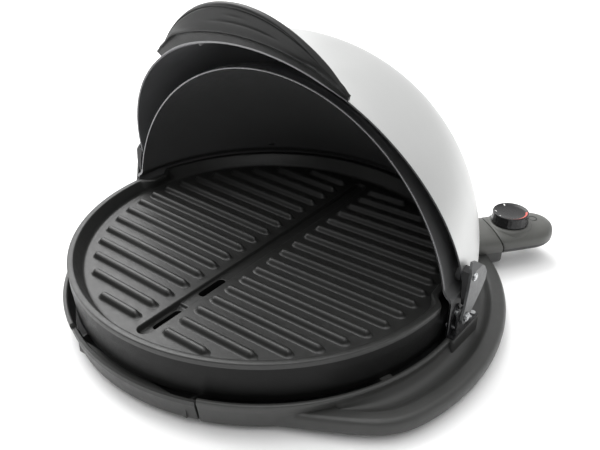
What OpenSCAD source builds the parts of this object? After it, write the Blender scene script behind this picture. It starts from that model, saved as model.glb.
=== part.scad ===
/* [Grill plate] */
// Outer radius of the plate's rim
plate_r = 165; // [163:0.5:165]
// Height of the rim above the table
rim_z = 60; // [58:1:64]
// Distance between neighbouring ribs
rib_pitch = 16.75; // [16:0.25:17]
// Width of one rib at its foot
rib_w = 7.2; // [5:0.2:9]
// Height of a rib over the valley floor
rib_h = 4.8; // [3:0.2:6]
// Width of the central grease gutter
gutter_w = 12.8; // [10:0.2:16]
// Length of each drain slot
slot_len = 28; // [20:1:29]
// Width of each drain slot
slot_w = 7.6; // [6:0.2:8.6]

/* [Base] */
// Radius of the base at the outer edge of its side wings
wing_r = 202; // [200:1:212]
// Width of the rounded lip round each wing's scoop
lip_w = 12; // [9:1:15]
// Half angle of the drip tray's front panel
tray_half = 22.5; // [18:0.5:26]
// Height of the rubber feet
foot_h = 7; // [5:1:8]
// Radius of the rubber feet
foot_r = 9; // [6:0.5:11]

/* [Lids] */
// Outer radius of the roll-back lid
lid_r = 173; // [172.6:0.1:173.4]
// Sheet thickness of the roll-back lid
lid_t = 1.5; // [1.2:0.1:1.6]
// Angle the lid rolls through between closed and open
lid_swing = 75.5; // [70:0.5:76]
// Outer radius of the fixed rear shell's dome
shell_r = 167; // [166:0.5:167]
// Wall of the fixed rear shell
shell_t = 2; // [1.5:0.1:2.2]
// How far the visor handle stands out from the lid's edge
visor_out = 28.5; // [20:1:34]
// Half angle that the visor handle spans
visor_half = 31.5; // [26:0.5:36]

/* [Temperature probe] */
// Direction of the probe, from the right-hand side towards the back
probe_ang = 52.5; // [50:0.5:55]
// Radius of the control knob at its foot
knob_r = 17; // [15:0.2:18]
// Height of the control knob
knob_h = 10.6; // [8:0.2:12]
// Width of the probe's body
probe_w = 46; // [44:1:48]

/* [Hidden] */
$fn = 96;

// Heights below are measured from the plane of the plate's rim
base_bot = foot_h - rim_z;
ring_top = -30;
wing_top = -40;
cover_top = base_bot + 1.8;

// Lid pivot and the lid sphere's centre, as [y, z] with the lid rolled back
piv = [14.5, -12.5];
cen_open = [2.5, -4];
function turn(v, a) = [v[0]*cos(a) - v[1]*sin(a), v[0]*sin(a) + v[1]*cos(a)];
cen = piv + turn(cen_open - piv, lid_swing);
edge_h = 18.8;
edge_z = cen[1] + edge_h;
riv = [20.5, 20];
// Screws that join the rear shell to the brackets, along Y
shell_screw_y = [11.5, 20];

// Probe measures along its own axis, out from the plate's centre
seam_s = 213.7;
tip_c = 249;
knob_s = 229;
pin_z = -28.8;
pin_t = 11.5;
probe_c = -34;

// The frame's origin: middle of the outline on the table
panel_r = 171.6;
y_low = panel_r;
y_high = tip_c*sin(probe_ang) + probe_w/2;
y_mid = (y_high - y_low)/2;

module at_rim() translate([0, -y_mid, rim_z]) children();
module lid_pose() translate([0, piv[0], piv[1]]) rotate([-lid_swing, 0, 0]) translate([0, -piv[0], -piv[1]]) children();
module probe_pose() rotate([0, 0, probe_ang]) children();
// Extrudes an outline drawn in Y and Z along X, from x0 to x1
module along_x(x0, x1) translate([x0, 0, 0]) rotate([90, 0, 90]) linear_extrude(x1 - x0) children();
// Extrudes an outline drawn in X and Z along Y, from y0 to y1
module along_y(y0, y1) translate([0, y1, 0]) rotate([90, 0, 0]) linear_extrude(y1 - y0) children();
module tube_x(r, x0, x1) translate([x0, 0, 0]) rotate([0, 90, 0]) cylinder(r = r, h = x1 - x0);
module both_sides() { children(); mirror([1, 0, 0]) children(); }

// ---- Grill plate -------------------------------------------------------
ribs_n = 17;
function rib_y(k) = (k - (ribs_n - 1)/2)*rib_pitch;
rib_in = 12;
floor_z = -13.25;
rib_circle = 146;
slope = 1.26;
function rib_out(y) = sqrt(rib_circle*rib_circle - y*y);
module rib(y) {
    len = rib_out(y) - rib_in;
    // rounded bar with sloping ends, laid on the sloping floor
    translate([0, y, floor_z]) rotate([0, -slope, 0])
        intersection() {
            along_x(rib_in, rib_in + len) polygon([[-rib_w/2, -1], [rib_w/2, -1], [rib_w/2, 0.8],
                [rib_w/2 - 0.7, 2.9], [rib_w/2 - 2.1, rib_h - 0.35], [rib_w/2 - 3.1, rib_h],
                [3.1 - rib_w/2, rib_h], [2.1 - rib_w/2, rib_h - 0.35], [0.7 - rib_w/2, 2.9], [-rib_w/2, 0.8]]);
            along_y(-6, 6) polygon([[rib_in, -1], [rib_in, 1], [rib_in + 1.2, rib_h - 0.8], [rib_in + 2.8, rib_h + 1],
                [rib_in + len - 2.8, rib_h + 1], [rib_in + len - 1.2, rib_h - 0.8], [rib_in + len, 1], [rib_in + len, -1]]);
        }
}
module slot_exact(y0) {
    translate([-slot_w/2, y0 + slot_w/2, -30]) cube([slot_w, slot_len - slot_w, 20]);
    translate([0, y0 + slot_w/2, -30]) cylinder(d = slot_w, h = 20);
    translate([0, y0 + slot_len - slot_w/2, -30]) cylinder(d = slot_w, h = 20);
}
module grill_plate() color("#2b2b2b") at_rim() difference() {
    union() {
        difference() {
            rotate_extrude() polygon([[0, -21], [plate_r - 4.5, -21], [plate_r - 4.5, -34], [plate_r - 1.5, -34],
                [plate_r, -1.2], [plate_r - 0.9, 0], [plate_r - 4.6, 0], [plate_r - 5.4, -0.8], [plate_r - 9.9, -9], [0, -9]]);
            // sloping floor that drains to the gutter
            intersection() {
                translate([0, 0, -30]) cylinder(r = plate_r - 10.2, h = 30);
                along_y(-170, 170) polygon([[-170, -8], [-170, floor_z + 3.45], [-13, floor_z], [13, floor_z], [170, floor_z + 3.45], [170, -8]]);
            }
            // central gutter
            intersection() {
                translate([0, 0, -30]) cylinder(r = 150, h = 30);
                along_y(-147, 147) polygon([[-gutter_w/2, floor_z + 5], [-gutter_w/2 + 1, floor_z - 3.05], [gutter_w/2 - 1, floor_z - 3.05], [gutter_w/2, floor_z + 5]]);
            }
        }
        for (k = [0:ribs_n - 1]) { rib(rib_y(k)); mirror([1, 0, 0]) rib(rib_y(k)); }
        // twin walls under the floor that locate the heating element
        rotate_extrude() polygon([[103.8, -30.5], [105.4, -30.5], [105.4, -20.9], [103.8, -20.9]]);
        rotate_extrude() polygon([[114.6, -30.5], [116.2, -30.5], [116.2, -20.9], [114.6, -20.9]]);
    }
    slot_exact(-132.5);
    slot_exact(-84);
    // rim notches beside the hinges
    both_sides() translate([plate_r - 2.7, 0, -12]) cube([8, 30, 14]);
    // way out for the element's cold ends and the sensor
    probe_pose() {
        translate([100, -pin_t - 5, -31]) cube([20, 2*pin_t + 10, 9.9]);
        for (t = [-pin_t, pin_t]) translate([0, t, pin_z]) tube_x(4.6, 155, 170);
        translate([0, 0, pin_z]) tube_x(3.5, 155, 170);
    }
}
module heating_element() color("#6b6f73") at_rim() probe_pose() union() {
    difference() {
        translate([0, 0, pin_z]) rotate([0, 0, 90]) rotate_extrude() translate([110, 0]) circle(r = 4);
        translate([80, 5 - pin_t, pin_z - 10]) cube([60, 2*(pin_t - 5), 20]);
    }
    for (t = [-pin_t, pin_t]) translate([0, t, pin_z]) tube_x(3.2, 108, 152);
}
module terminal_pins() color("#c9ccd0") at_rim() probe_pose()
    for (t = [-pin_t, pin_t]) translate([0, t, pin_z]) { tube_x(2.4, 152, 188.6); translate([188.6, 0, 0]) rotate([0, 90, 0]) cylinder(r1 = 2.4, r2 = 1.3, h = 1.8); }
module terminal_insulators() color("#e9e4d8") at_rim() probe_pose()
    for (t = [-pin_t, pin_t]) translate([0, t, pin_z]) difference() { union() { tube_x(4.6, 155, 168); tube_x(5.6, 165.4, 168); } tube_x(2.4, 150, 175); }
module socket_guard() color("#8d9196") at_rim() probe_pose() difference() {
    translate([164.2, -20, -33.6]) cube([12.6, 40, 15]);
    translate([168.2, -18.8, -32.4]) cube([20, 37.6, 12.6]);
    translate([150, -18.8, -32.4]) cube([16.4, 37.6, 12.6]);
    for (t = [-pin_t, pin_t]) translate([0, t, pin_z]) tube_x(5.7, 150, 175);
    translate([0, 0, pin_z]) tube_x(3.5, 150, 175);
}

// ---- Base ----------------------------------------------------------------
// Radius of the wing's outline at angle a, a smooth blend of the outer arc,
// the straight front edge and the straight back edge
function blend_r(a, r, d1, a1, d2, a2, p) = pow(pow(1/r, p) + pow(max(0, cos(a - a1))/d1, p) + pow(max(0, cos(a - a2))/d2, p), -1/p);
function wing_edge(a, in, p) = blend_r(a, wing_r - in, 165 - in, -61.6, 171 - in, 84, p);
module wing_plan(in, p) polygon(concat([[0, 0]], [for (i = [0:48]) let (a = -61.6 + i*145.6/48) [wing_edge(a, in, p)*cos(a), wing_edge(a, in, p)*sin(a)]]));
// One side wing with its scoop; p sets how square its corners are
module wing(p) difference() {
    translate([0, 0, base_bot]) linear_extrude(wing_top - base_bot) wing_plan(0, p);
    translate([0, 0, base_bot - 1]) cylinder(r = 168, h = 40);
    intersection() {
        rotate_extrude() polygon([[172.6, -38], [176, -42], [181, -44.6], [186.5, -44.6], [191, -42.6], [194.5, -39.5], [194.5, -30], [172.6, -30]]);
        translate([0, 0, -48]) linear_extrude(20) wing_plan(lip_w, p);
    }
    // bevel of the outer lip
    difference() {
        translate([0, 0, -44.5]) linear_extrude(10) wing_plan(-5, p);
        translate([0, 0, -50]) linear_extrude(20) wing_plan(3.2, p);
        translate([0, 0, -50]) cylinder(r = 176, h = 20);
    }
}
function se(c, e) = sign(c)*pow(abs(c), e);
// Outline across the probe: a wide rounded bar, in its own t and z
module probe_plan(g) polygon([for (i = [0:31]) let (a = i*360/32) [(probe_w/2 - g)*se(cos(a), 0.72), probe_c + (12 - g)*se(sin(a), 0.8)]]);
module probe_bar(g, s0, s1) along_x(s0, s1) probe_plan(g);
post_ang = [15, 165, 200, 340, 75, 112];
module base_housing() color("#3d3e40") at_rim() difference() {
    union() {
        // raised ring round the plate
        rotate_extrude() polygon([[164.8, base_bot], [167.8, base_bot], [171.6, -36], [172.8, -31.4], [172.3, -30.3], [171.2, ring_top],
            [169.6, ring_top], [168.6, -31]]);
        // side wings; the left one has rounder corners
        wing(28);
        mirror([1, 0, 0]) wing(12);
        // pads under the hinge brackets
        both_sides() translate([166.5, 3.5, -47]) cube([9.3, 42.5, 47 + ring_top]);
        // support under the probe's socket
        probe_pose() translate([166, -21, base_bot]) cube([seam_s - 166.4, 42, 7.4]);
        // posts that carry the plate and the heat reflector
        for (a = post_ang) rotate([0, 0, a]) {
            translate([157.2, -5, cover_top]) cube([11.5, 10, -34 - cover_top]);
            translate([146, -5, cover_top]) cube([12, 10, -37 - cover_top]);
        }
    }
    // room for the bottom cover
    translate([0, 0, base_bot - 1]) cylinder(r = 165.5, h = 2.8);
    // mouth for the drip tray
    rotate([0, 0, -90]) translate([0, 0, base_bot - 1]) linear_extrude(30)
        polygon([[0, 0], [220*cos(tray_half + 0.5), -220*sin(tray_half + 0.5)], [220, 0], [220*cos(tray_half + 0.5), 220*sin(tray_half + 0.5)]]);
    // trough for the socket hood and the way in to the terminals
    probe_pose() probe_bar(-0.05, 160, 240);
    // screw holes for the brackets and the bottom cover
    both_sides() for (y = [35, 41.5]) translate([172, y, -44]) cylinder(r = 1.4, h = 20);
    for (a = post_ang) rotate([0, 0, a]) translate([152, 0, base_bot - 1]) cylinder(r = 1.5, h = 11);
}
module bottom_cover() color("#2e2f31") at_rim() difference() {
    translate([0, 0, base_bot]) cylinder(r = 165.4, h = 1.8);
    for (a = post_ang) rotate([0, 0, a]) translate([152, 0, base_bot - 1]) { cylinder(r = 1.5, h = 5); cylinder(r = 3.4, h = 1.8); }
    for (a = [45:90:315]) rotate([0, 0, a]) translate([150, 0, base_bot - 1]) cylinder(r = 3.2, h = 5);
    // vents
    for (i = [-3:3]) translate([i*16 - 2.5, -10, base_bot - 1]) cube([5, 60, 4]);
}
module heat_reflector() color("#b9bcc0") at_rim() difference() {
    rotate_extrude() polygon([[0, -37], [148, -37], [156, -37], [156, -36.2], [151, -36.2], [0, -36.2]]);
    translate([-62, -170, -40]) cube([124, 130, 10]);
}
module rubber_feet() color("#1c1c1c") at_rim() for (a = [45:90:315]) rotate([0, 0, a]) translate([150, 0, 0]) {
    translate([0, 0, base_bot - foot_h]) cylinder(r1 = foot_r - 1.2, r2 = foot_r, h = foot_h);
    translate([0, 0, base_bot - 0.1]) cylinder(r = 3.2, h = 4);
}
module base_screws() color("#9a9da1") at_rim() for (a = post_ang) rotate([0, 0, a]) translate([152, 0, 0]) {
    translate([0, 0, base_bot + 0.05]) cylinder(r = 3.2, h = 0.75);
    translate([0, 0, base_bot + 0.5]) cylinder(r = 1.5, h = 9);
}
module drip_tray() color("#3d3e40") at_rim() {
    difference() {
        union() {
            // front panel, an arc of the base's own wall
            intersection() {
                rotate_extrude() polygon([[166, base_bot + 0.6], [167.8, base_bot + 0.6], [171.6, -36.5], [171.2, -33.3], [168.6, -33.3], [166, -38.5]]);
                rotate([0, 0, -90]) translate([0, 0, base_bot]) linear_extrude(30)
                    polygon([[0, 0], [220*cos(tray_half), -220*sin(tray_half)], [220, 0], [220*cos(tray_half), 220*sin(tray_half)]]);
            }
            translate([-58, -160, cover_top + 0.3]) cube([116, 104, 12.4]);
            // floor and sides carried forward to the panel
            intersection() {
                translate([-58, -171, cover_top + 0.3]) cube([116, 12, 12.4]);
                translate([0, 0, cover_top]) cylinder(r = 166.6, h = 20);
            }
        }
        translate([-56.4, -158.4, cover_top + 1.9]) cube([112.8, 100.8, 20]);
    }
}

// ---- Hinges -------------------------------------------------------------
module hinge_ear_plan(r) { translate(piv) circle(r = r); polygon([[piv[0] - r, piv[1]], [6, -28.6], [29, -28.6], [piv[0] + r, piv[1]]]); }
module hinge_bracket() difference() {
    union() {
        along_x(169.6, 171.1) hinge_ear_plan(7.5);
        along_x(173.8, 175.5) hinge_ear_plan(7.5);
        translate([169.6, 4, ring_top]) cube([5.9, 41, 1.5]);
    }
    translate([0, piv[0], piv[1]]) tube_x(3, 165, 180);
    for (y = [35, 41.5]) translate([172, y, ring_top - 1]) cylinder(r = 1.4, h = 4);
    for (y = shell_screw_y) translate([0, y, -24.2]) tube_x(1.4, 165, 173);
}
module hinge_bracket_right() color("#1f2022") at_rim() hinge_bracket();
module hinge_bracket_left() color("#1f2022") at_rim() mirror([1, 0, 0]) hinge_bracket();
module bracket_screws() color("#c4c7ca") at_rim() both_sides() for (y = [35, 41.5]) translate([172, y, 0]) {
    translate([0, 0, ring_top + 1.5]) cylinder(r = 2.3, h = 1.4);
    translate([0, 0, -40]) cylinder(r = 1.4, h = 11.6);
}
module pivot_pin() translate([0, piv[0], piv[1]]) {
    tube_x(3, 169.6, 178.3);
    tube_x(3.6, 178.3, 179.3);
    tube_x(2.6, 179.3, 180);
}
module pivot_pin_right() color("#dcdee0") at_rim() pivot_pin();
module pivot_pin_left() color("#dcdee0") at_rim() mirror([1, 0, 0]) pivot_pin();

// ---- Fixed rear shell -----------------------------------------------------
module rear_shell() color("#2c2d2f") at_rim() difference() {
    intersection() {
        union() {
            // dome
            difference() {
                translate([0, 0, -26]) sphere(r = shell_r);
                translate([0, 0, -26]) sphere(r = shell_r - shell_t);
                translate([0, 0, -200 + 1.8]) cube([400, 400, 400], center = true);
            }
            // step out over the rim, and the skirt down to the base's ring
            rotate_extrude() polygon([[162.4, 1.8], [168, 1.8], [168, ring_top], [169.5, ring_top], [169.5, 2.3], [168.5, 3.3], [162.4, 3.3]]);
            // flat ears beside the hinge brackets
            both_sides() translate([166.4, 5.5, ring_top]) cube([3.1, 20.5, 30.5]);
        }
        translate([-200, 5.5, -60]) cube([400, 200, 260]);
    }
    // window for the probe's terminals
    probe_pose() translate([150, -22.5, ring_top - 1]) cube([30, 45, 16]);
    both_sides() for (y = shell_screw_y) translate([0, y, -24.2]) tube_x(1.4, 165, 173);
}
module shell_screws() color("#9a9da1") at_rim() both_sides() for (y = shell_screw_y) translate([0, y, -24.2]) {
    tube_x(1.4, 166.4, 172.6);
    tube_x(2.6, 165.2, 166.4);
}

// ---- Roll-back lid ----------------------------------------------------------
screw_t = [-17, 0, 17];
screw_h = 6.4;
screw_rad = sqrt(lid_r*lid_r - pow(edge_h + screw_h, 2));
module on_lid_edge(t) translate([0, cen[0], edge_z + screw_h]) rotate([0, 0, -90 + t]) children();
module lid_dome() color("#e6e8e9") at_rim() difference() {
    translate([0, cen_open[0], cen_open[1]]) sphere(r = lid_r);
    translate([0, cen_open[0], cen_open[1]]) sphere(r = lid_r - lid_t);
    lid_pose() {
        translate([-250, -250, edge_z - 400]) cube([500, 500, 400]);
        translate([-250, 9.2 + 0.14*edge_z, edge_z]) rotate([-atan(0.14), 0, 0]) translate([0, 0, -300]) cube([500, 400, 600]);
        for (t = screw_t) on_lid_edge(t) tube_x(1.7, 150, 190);
    }
    both_sides() translate([0, riv[0], riv[1]]) tube_x(2, 150, 190);
}
module lid_arm() difference() {
    intersection() {
        along_y(0, 60) polygon([[176, -25], [178, -25], [178, 24], [173.4, 35.6], [171.9, 34.7], [176, 23.6]]);
        along_x(165, 180) polygon(concat([for (a = [180:12:336]) [piv[0] + 6.2*cos(a), piv[1] + 6.2*sin(a)]],
            [[36.5, -1], [42.2, 6], [42.6, 13], [37.5, 20.5], [26, 29.5], [20.5, 31], [16.8, 27.5], [14.6, 22], [13.8, 10], [11, -4]]));
    }
    translate([0, piv[0], piv[1]]) tube_x(3.05, 165, 185);
    translate([0, riv[0], riv[1]]) tube_x(2, 165, 185);
}
module lid_arm_right() color("#77797b") at_rim() lid_arm();
module lid_arm_left() color("#77797b") at_rim() mirror([1, 0, 0]) lid_arm();
// Black pads that fill the space between the lid's end and the arm, and the bosses inside the lid
module arm_spacers() color("#17181a") at_rim() both_sides() {
    difference() {
        along_x(165, 176) polygon([[14.8, 25], [13.4, 14], [13, 2], [14.5, -3.6], [19, -4], [24.5, -1], [27, 8], [27, 20], [23, 25.5]]);
        translate([0, cen_open[0], cen_open[1]]) sphere(r = lid_r + 0.2);
        translate([0, riv[0], riv[1]]) tube_x(2, 160, 180);
        along_y(0, 60) polygon([[180, 23.55], [175.95, 23.55], [171.8, 34.7], [171.8, 40], [180, 40]]);
    }
    difference() {
        intersection() {
            translate([0, riv[0], riv[1]]) tube_x(6.5, 165.8, 172);
            translate([0, cen_open[0], cen_open[1]]) sphere(r = lid_r - lid_t);
        }
        translate([0, riv[0], riv[1]]) tube_x(2, 160, 180);
    }
}
module arm_rivets() color("#dcdee0") at_rim() both_sides() translate([0, riv[0], riv[1]]) {
    tube_x(2, 165, 178.9);
    tube_x(3.1, 178, 178.9);
    tube_x(2.2, 178.9, 179.5);
    tube_x(3.4, 165, 165.8);
}
// Reach of the visor from the lid's middle at angle t
function visor_edge(t) = 176 + visor_out*pow(max(0, cos(90*t/visor_half)), 0.85);
module lid_handle() color("#222324") at_rim() lid_pose() difference() {
    translate([0, cen[0], 0]) intersection() {
        translate([0, 0, edge_z]) rotate_extrude() polygon([[170.7, 0], [170.7, -2.2], [180.5, -3.6], [183, -5.6], [201, -2.6], [204.3, -2.2], [205.4, 0], [204, 2.6], [186, 6], [176, 9.4], [169, 12.6], [169, 0]]);
        translate([0, 0, edge_z - 20]) linear_extrude(60) rotate([0, 0, -90]) polygon(concat(
            [for (i = [0:26]) let (t = -visor_half + i*visor_half/13) [visor_edge(t)*cos(t), visor_edge(t)*sin(t)]],
            [[150*cos(visor_half), 150*sin(visor_half)], [150*cos(visor_half), -150*sin(visor_half)]]));
    }
    // seat on the lid's outer face and edge
    intersection() { translate([0, cen[0], cen[1]]) sphere(r = lid_r); translate([-200, -250, edge_z]) cube([400, 300, 60]); }
    for (t = screw_t) on_lid_edge(t) tube_x(1.7, 150, screw_rad + 9);
}
module handle_screws() color("#9a9da1") at_rim() lid_pose() for (t = screw_t) on_lid_edge(t) {
    tube_x(1.7, screw_rad - lid_t - 0.8, screw_rad + 8);
    tube_x(3.2, screw_rad - lid_t - 2.1, screw_rad - lid_t - 0.7);
}

// ---- Temperature probe ------------------------------------------------------
module socket_hood() color("#454648") at_rim() probe_pose() difference() {
    probe_bar(0, 177, seam_s - 0.7);
    probe_bar(2.2, 170, seam_s + 1);
}
module probe_body(g, s0) intersection() {
    probe_bar(g, s0, tip_c + probe_w/2 + 1);
    translate([0, 0, -60]) union() { translate([tip_c, 0, 0]) cylinder(r = probe_w/2 - g, h = 50); translate([s0, -40, 0]) cube([tip_c - s0, 80, 50]); }
}
split_z = -37;
module gland_bore() translate([tip_c - 1, 14, probe_c - 5.2]) rotate([-90, 0, 0]) cylinder(r = 4.6, h = 20);
module probe_upper_shell() color("#4a4b4d") at_rim() probe_pose() difference() {
    union() {
        difference() {
            union() {
                probe_body(0, seam_s);
                intersection() {
                    translate([knob_s, 0, probe_c]) cylinder(r1 = 21, r2 = 17.8, h = 12.4);
                    translate([seam_s, -40, -60]) cube([80, 80, 60]);
                }
            }
            difference() { probe_body(2.2, seam_s + 2); translate([tip_c - 5, -8, -26]) cube([10, 16, 6]); }
            translate([knob_s - 17 + 2, -15, -60]) cube([28, 30, 60 - 25]);
        }
        // bosses for the two screws
        for (t = [-13, 13]) intersection() {
            translate([seam_s + 8, t, -60]) cylinder(r = 3.2, h = 50);
            probe_body(0.6, seam_s);
        }
    }
    translate([0, 0, -60]) translate([180, -50, 0]) cube([120, 100, 60 + split_z]);
    translate([knob_s, 0, -40]) cylinder(r = 3.1, h = 30);
    translate([tip_c + 4, 0, -30]) cylinder(r = 2.6, h = 20);
    for (t = [-13, 13]) translate([seam_s + 8, t, -50]) cylinder(r = 1.5, h = 18.2);
    gland_bore();
}
module probe_lower_shell() color("#3f4042") at_rim() probe_pose() difference() {
    probe_body(0, seam_s);
    probe_body(2.2, seam_s + 2);
    translate([180, -50, split_z]) cube([120, 100, 60]);
    gland_bore();
    for (t = [-13, 13]) translate([seam_s + 8, t, -60]) { cylinder(r = 1.5, h = 30); cylinder(r = 2.65, h = 17.4); }
}
module probe_nose() color("#242526") at_rim() probe_pose() difference() {
    probe_bar(2.8, 191, seam_s - 0.05);
    for (t = [-pin_t, pin_t]) translate([0, t, pin_z]) tube_x(3.2, 185, 215);
    translate([0, 0, pin_z]) tube_x(3, 185, 215);
}
module contact_sleeves() color("#c8a24a") at_rim() probe_pose() for (t = [-pin_t, pin_t]) translate([0, t, pin_z]) difference() { tube_x(3.2, 183, 213); tube_x(2.45, 180, 210); }
module sensor_rod() color("#c9ccd0") at_rim() probe_pose() translate([0, 0, pin_z]) { tube_x(3, 159, 213); translate([159, 0, 0]) sphere(r = 3); }
module thermostat() color("#b08a45") at_rim() probe_pose() difference() {
    union() {
        translate([knob_s - 12, -9, -43]) cube([26, 18, 11]);
        translate([knob_s, 0, -32]) cylinder(r = 5, h = 3);
    }
    translate([knob_s, 0, -33.6]) cylinder(r = 3.05, h = 10);
}
module probe_screws() color("#9a9da1") at_rim() probe_pose() for (t = [-13, 13]) translate([seam_s + 8, t, 0]) {
    translate([0, 0, -43.8]) cylinder(r = 1.5, h = 12);
    translate([0, 0, -43.8]) cylinder(r = 2.6, h = 1.2);
}
module indicator_lens() color("#e8e8e4") at_rim() probe_pose() translate([tip_c + 4, 0, 0]) { translate([0, 0, -26.5]) cylinder(r = 2.6, h = 3.6); }
module cord_gland() color("#1c1c1c") at_rim() probe_pose() translate([tip_c - 1, 0, probe_c - 5.2]) rotate([-90, 0, 0]) difference() {
    union() { translate([0, 0, 16]) cylinder(r = 4.6, h = 8); translate([0, 0, 24]) cylinder(r = 5.6, h = 2); }
    translate([0, 0, 10]) cylinder(r = 3.4, h = 20);
}
module knob_shaft() color("#c9ccd0") at_rim() probe_pose() translate([knob_s, 0, -33.2]) cylinder(r = 3, h = 17.2);
module control_knob() color("#161718") at_rim() probe_pose() translate([knob_s, 0, probe_c + 12.7]) difference() {
    union() {
        cylinder(r1 = knob_r, r2 = knob_r - 1.4, h = knob_h - 1);
        translate([0, 0, knob_h - 1]) cylinder(r1 = knob_r - 1.4, r2 = knob_r - 2.4, h = 1);
    }
    translate([0, 0, -1]) cylinder(r = 3, h = 6.3);
}

grill_plate();
heating_element();
terminal_pins();
terminal_insulators();
socket_guard();
base_housing();
bottom_cover();
heat_reflector();
rubber_feet();
base_screws();
drip_tray();
hinge_bracket_right();
hinge_bracket_left();
bracket_screws();
pivot_pin_right();
pivot_pin_left();
rear_shell();
shell_screws();
lid_dome();
lid_arm_right();
lid_arm_left();
arm_spacers();
arm_rivets();
lid_handle();
handle_screws();
socket_hood();
probe_upper_shell();
probe_lower_shell();
probe_nose();
contact_sleeves();
sensor_rod();
thermostat();
probe_screws();
indicator_lens();
cord_gland();
knob_shaft();
control_knob();
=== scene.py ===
import bpy, bmesh, math
import numpy as np
from mathutils import Vector, Matrix


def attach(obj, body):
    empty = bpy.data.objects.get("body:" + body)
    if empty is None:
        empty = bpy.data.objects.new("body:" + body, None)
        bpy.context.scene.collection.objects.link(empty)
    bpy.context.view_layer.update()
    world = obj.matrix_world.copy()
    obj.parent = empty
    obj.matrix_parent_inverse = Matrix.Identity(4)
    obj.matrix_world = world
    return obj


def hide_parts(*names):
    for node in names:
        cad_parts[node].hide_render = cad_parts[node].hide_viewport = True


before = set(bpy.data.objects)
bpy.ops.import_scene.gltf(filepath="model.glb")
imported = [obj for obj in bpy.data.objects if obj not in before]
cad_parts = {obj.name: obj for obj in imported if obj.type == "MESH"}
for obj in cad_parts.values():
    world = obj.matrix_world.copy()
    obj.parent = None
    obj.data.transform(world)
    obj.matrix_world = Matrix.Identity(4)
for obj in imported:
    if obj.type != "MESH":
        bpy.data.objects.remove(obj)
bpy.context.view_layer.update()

YM = 24.472                      # the frame's origin lies this far behind the plate's centre
sin, cos, rad = math.sin, math.cos, math.radians


# ---------------------------------------------------------------- helpers
# Shapes are worked out in millimetres from the plate's centre, heights from the rim.
def to_m(a):
    a = np.asarray(a, float)
    out = np.empty_like(a)
    out[..., 0] = a[..., 0] / 1000
    out[..., 1] = (a[..., 1] - YM) / 1000
    out[..., 2] = (a[..., 2] + 60) / 1000
    return out


class Build:
    """Collects vertices and faces, then welds them into one smooth mesh."""

    def __init__(self):
        self.v, self.f, self.m = [], [], []

    def grid(self, rows, close_u=False, close_v=False, mat=0, skip=None, flip=False):
        rows = np.asarray(rows, float)
        nu, nv = rows.shape[:2]
        base = len(self.v)
        self.v.extend(rows.reshape(-1, 3).tolist())
        for i in range(nu if close_u else nu - 1):
            i2 = (i + 1) % nu
            for j in range(nv if close_v else nv - 1):
                j2 = (j + 1) % nv
                if skip and skip(i, j):
                    continue
                q = [base + i * nv + j, base + i2 * nv + j, base + i2 * nv + j2, base + i * nv + j2]
                self.f.append(q[::-1] if flip else q)
                self.m.append(mat(i, j) if callable(mat) else mat)

    def face(self, pts, mat=0):
        base = len(self.v)
        self.v.extend([list(map(float, p)) for p in pts])
        self.f.append(list(range(base, base + len(pts))))
        self.m.append(mat)

    def fan(self, loop, centre, mat=0):
        base = len(self.v)
        self.v.extend([list(map(float, p)) for p in loop])
        self.v.append(list(map(float, centre)))
        n = len(loop)
        for i in range(n):
            self.f.append([base + i, base + (i + 1) % n, base + n])
            self.m.append(mat)

    def make(self, name, mats, angle=38, weld=2e-5, recalc=True):
        me = bpy.data.meshes.new(name)
        me.from_pydata(to_m(np.array(self.v)).tolist(), [], self.f)
        for m in mats:
            me.materials.append(m)
        me.polygons.foreach_set("material_index", self.m)
        bm = bmesh.new()
        bm.from_mesh(me)
        bmesh.ops.remove_doubles(bm, verts=bm.verts, dist=weld)
        bmesh.ops.dissolve_degenerate(bm, edges=bm.edges, dist=1e-6)
        loose = [v for v in bm.verts if not v.link_faces]
        bmesh.ops.delete(bm, geom=loose, context="VERTS")
        if recalc:
            bmesh.ops.recalc_face_normals(bm, faces=bm.faces)
        bm.to_mesh(me)
        bm.free()
        me.polygons.foreach_set("use_smooth", [True] * len(me.polygons))
        me.set_sharp_from_angle(angle=rad(angle))
        me.update()
        ob = bpy.data.objects.new(name, me)
        bpy.context.scene.collection.objects.link(ob)
        return ob


def smooth(x, a, b):
    t = np.clip((x - a) / (b - a), 0, 1)
    return t * t * (3 - 2 * t)


def curve_pts(pts, n=6):
    """Catmull-Rom through the points, n steps per stretch."""
    p = np.array(pts, float)
    q = np.vstack([2 * p[0] - p[1], p, 2 * p[-1] - p[-2]])
    out = []
    for i in range(1, len(q) - 2):
        for k in range(n):
            t = k / n
            a, b, c, d = q[i - 1], q[i], q[i + 1], q[i + 2]
            out.append(0.5 * (2 * b + (c - a) * t + (2 * a - 5 * b + 4 * c - d) * t * t + (3 * b - a - 3 * c + d) * t ** 3))
    out.append(p[-1])
    return np.array(out)


def put(ob, body, nodes=()):
    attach(ob, body)
    if nodes:
        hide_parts(*nodes)
    return ob


# ---------------------------------------------------------------- materials
def new_mat(name):
    m = bpy.data.materials.new(name)
    m.use_nodes = True
    nt = m.node_tree
    nt.nodes.clear()
    out = nt.nodes.new("ShaderNodeOutputMaterial")
    b = nt.nodes.new("ShaderNodeBsdfPrincipled")
    nt.links.new(b.outputs[0], out.inputs[0])
    return m, nt, b


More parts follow.
